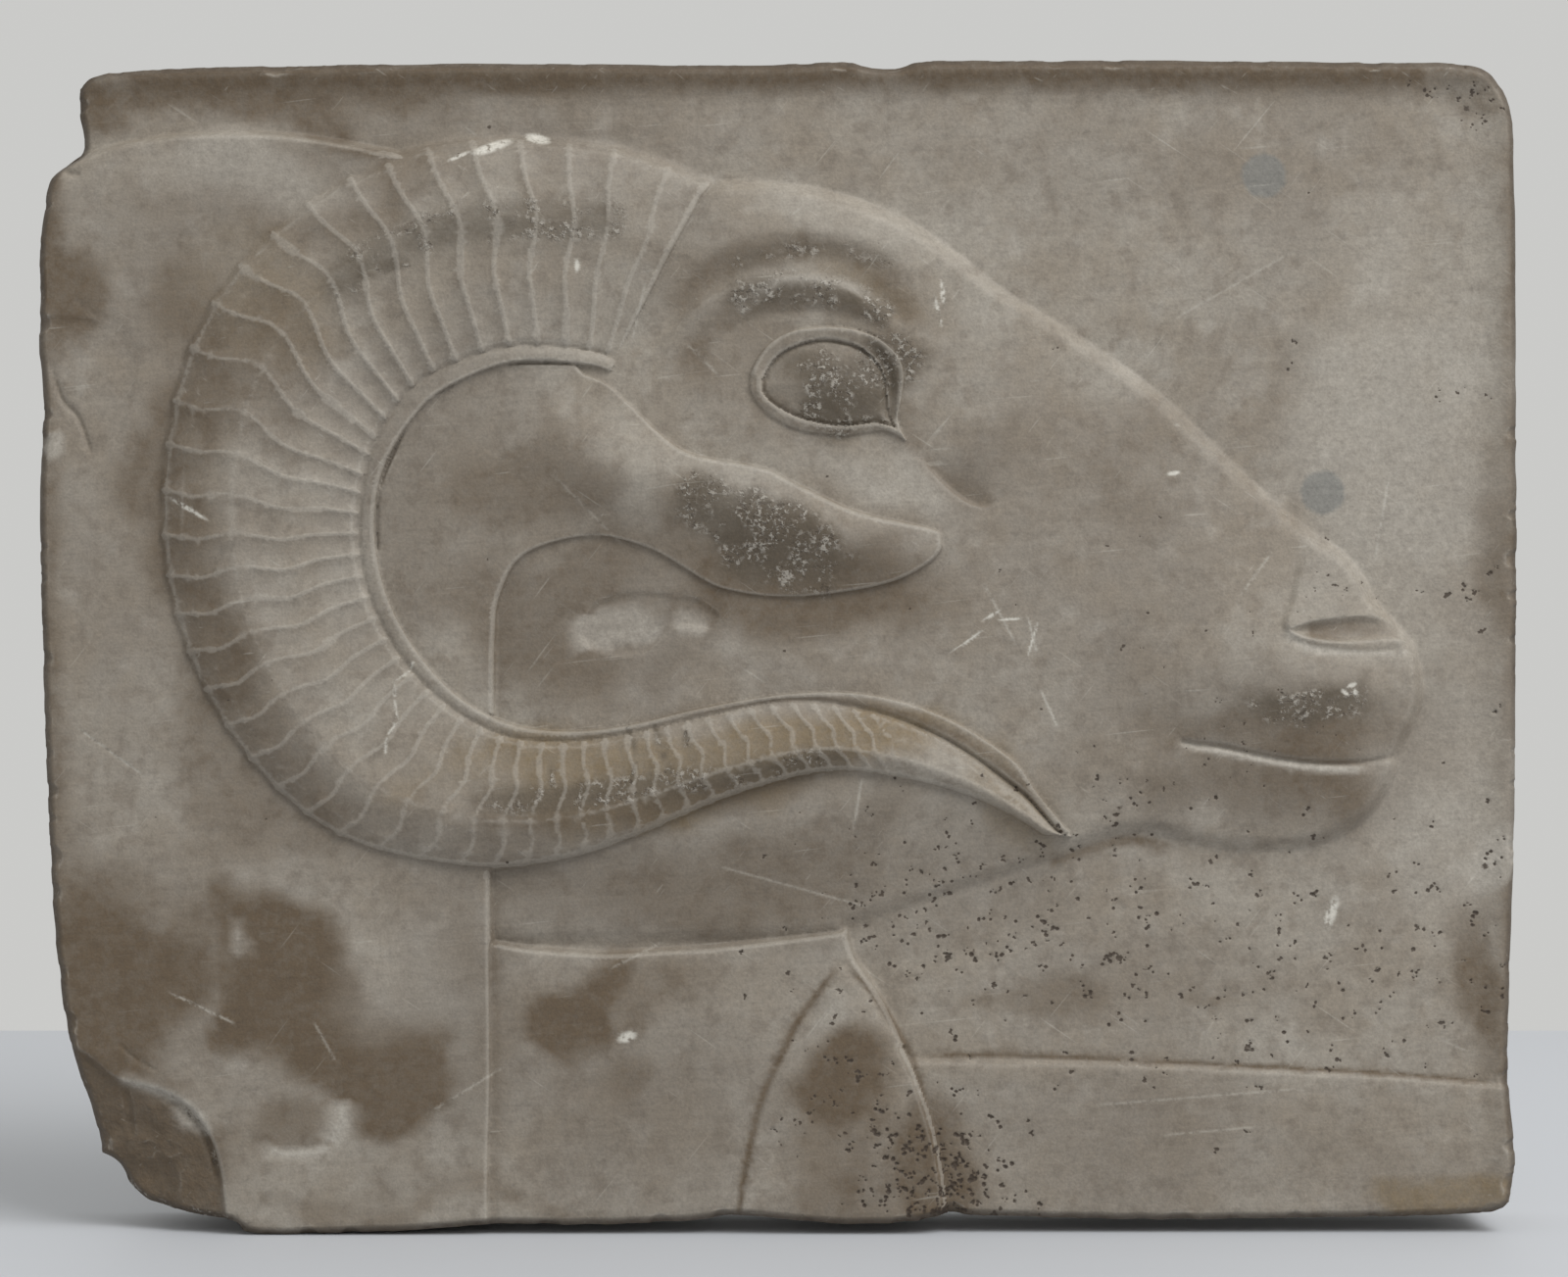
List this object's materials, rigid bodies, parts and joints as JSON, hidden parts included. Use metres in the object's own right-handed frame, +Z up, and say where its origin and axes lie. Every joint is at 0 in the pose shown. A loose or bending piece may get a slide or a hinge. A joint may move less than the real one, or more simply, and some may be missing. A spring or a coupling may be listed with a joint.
{
  "type": "stone relief panel",
  "caption": "Small upright stone slab with a ram's head in low relief: ribbed curling horn, ear, eye and muzzle facing right. Broken lower corner, flat back, made to be fixed to a wall.",
  "frame": {"origin": "middle of the flat back face", "axes": "+X to the right of a viewer who faces the carving, +Y from the carving through the slab into the wall, +Z up"},
  "size_m": [0.16, 0.0196, 0.127],
  "materials": {
    "limestone": "matt, hand-smoothed, with brown stains, dark dirt in the hollows and pale worn ridges"
  },
  "bodies": {
    "root": {"relief_panel": "limestone"}
  },
  "joints": []
}
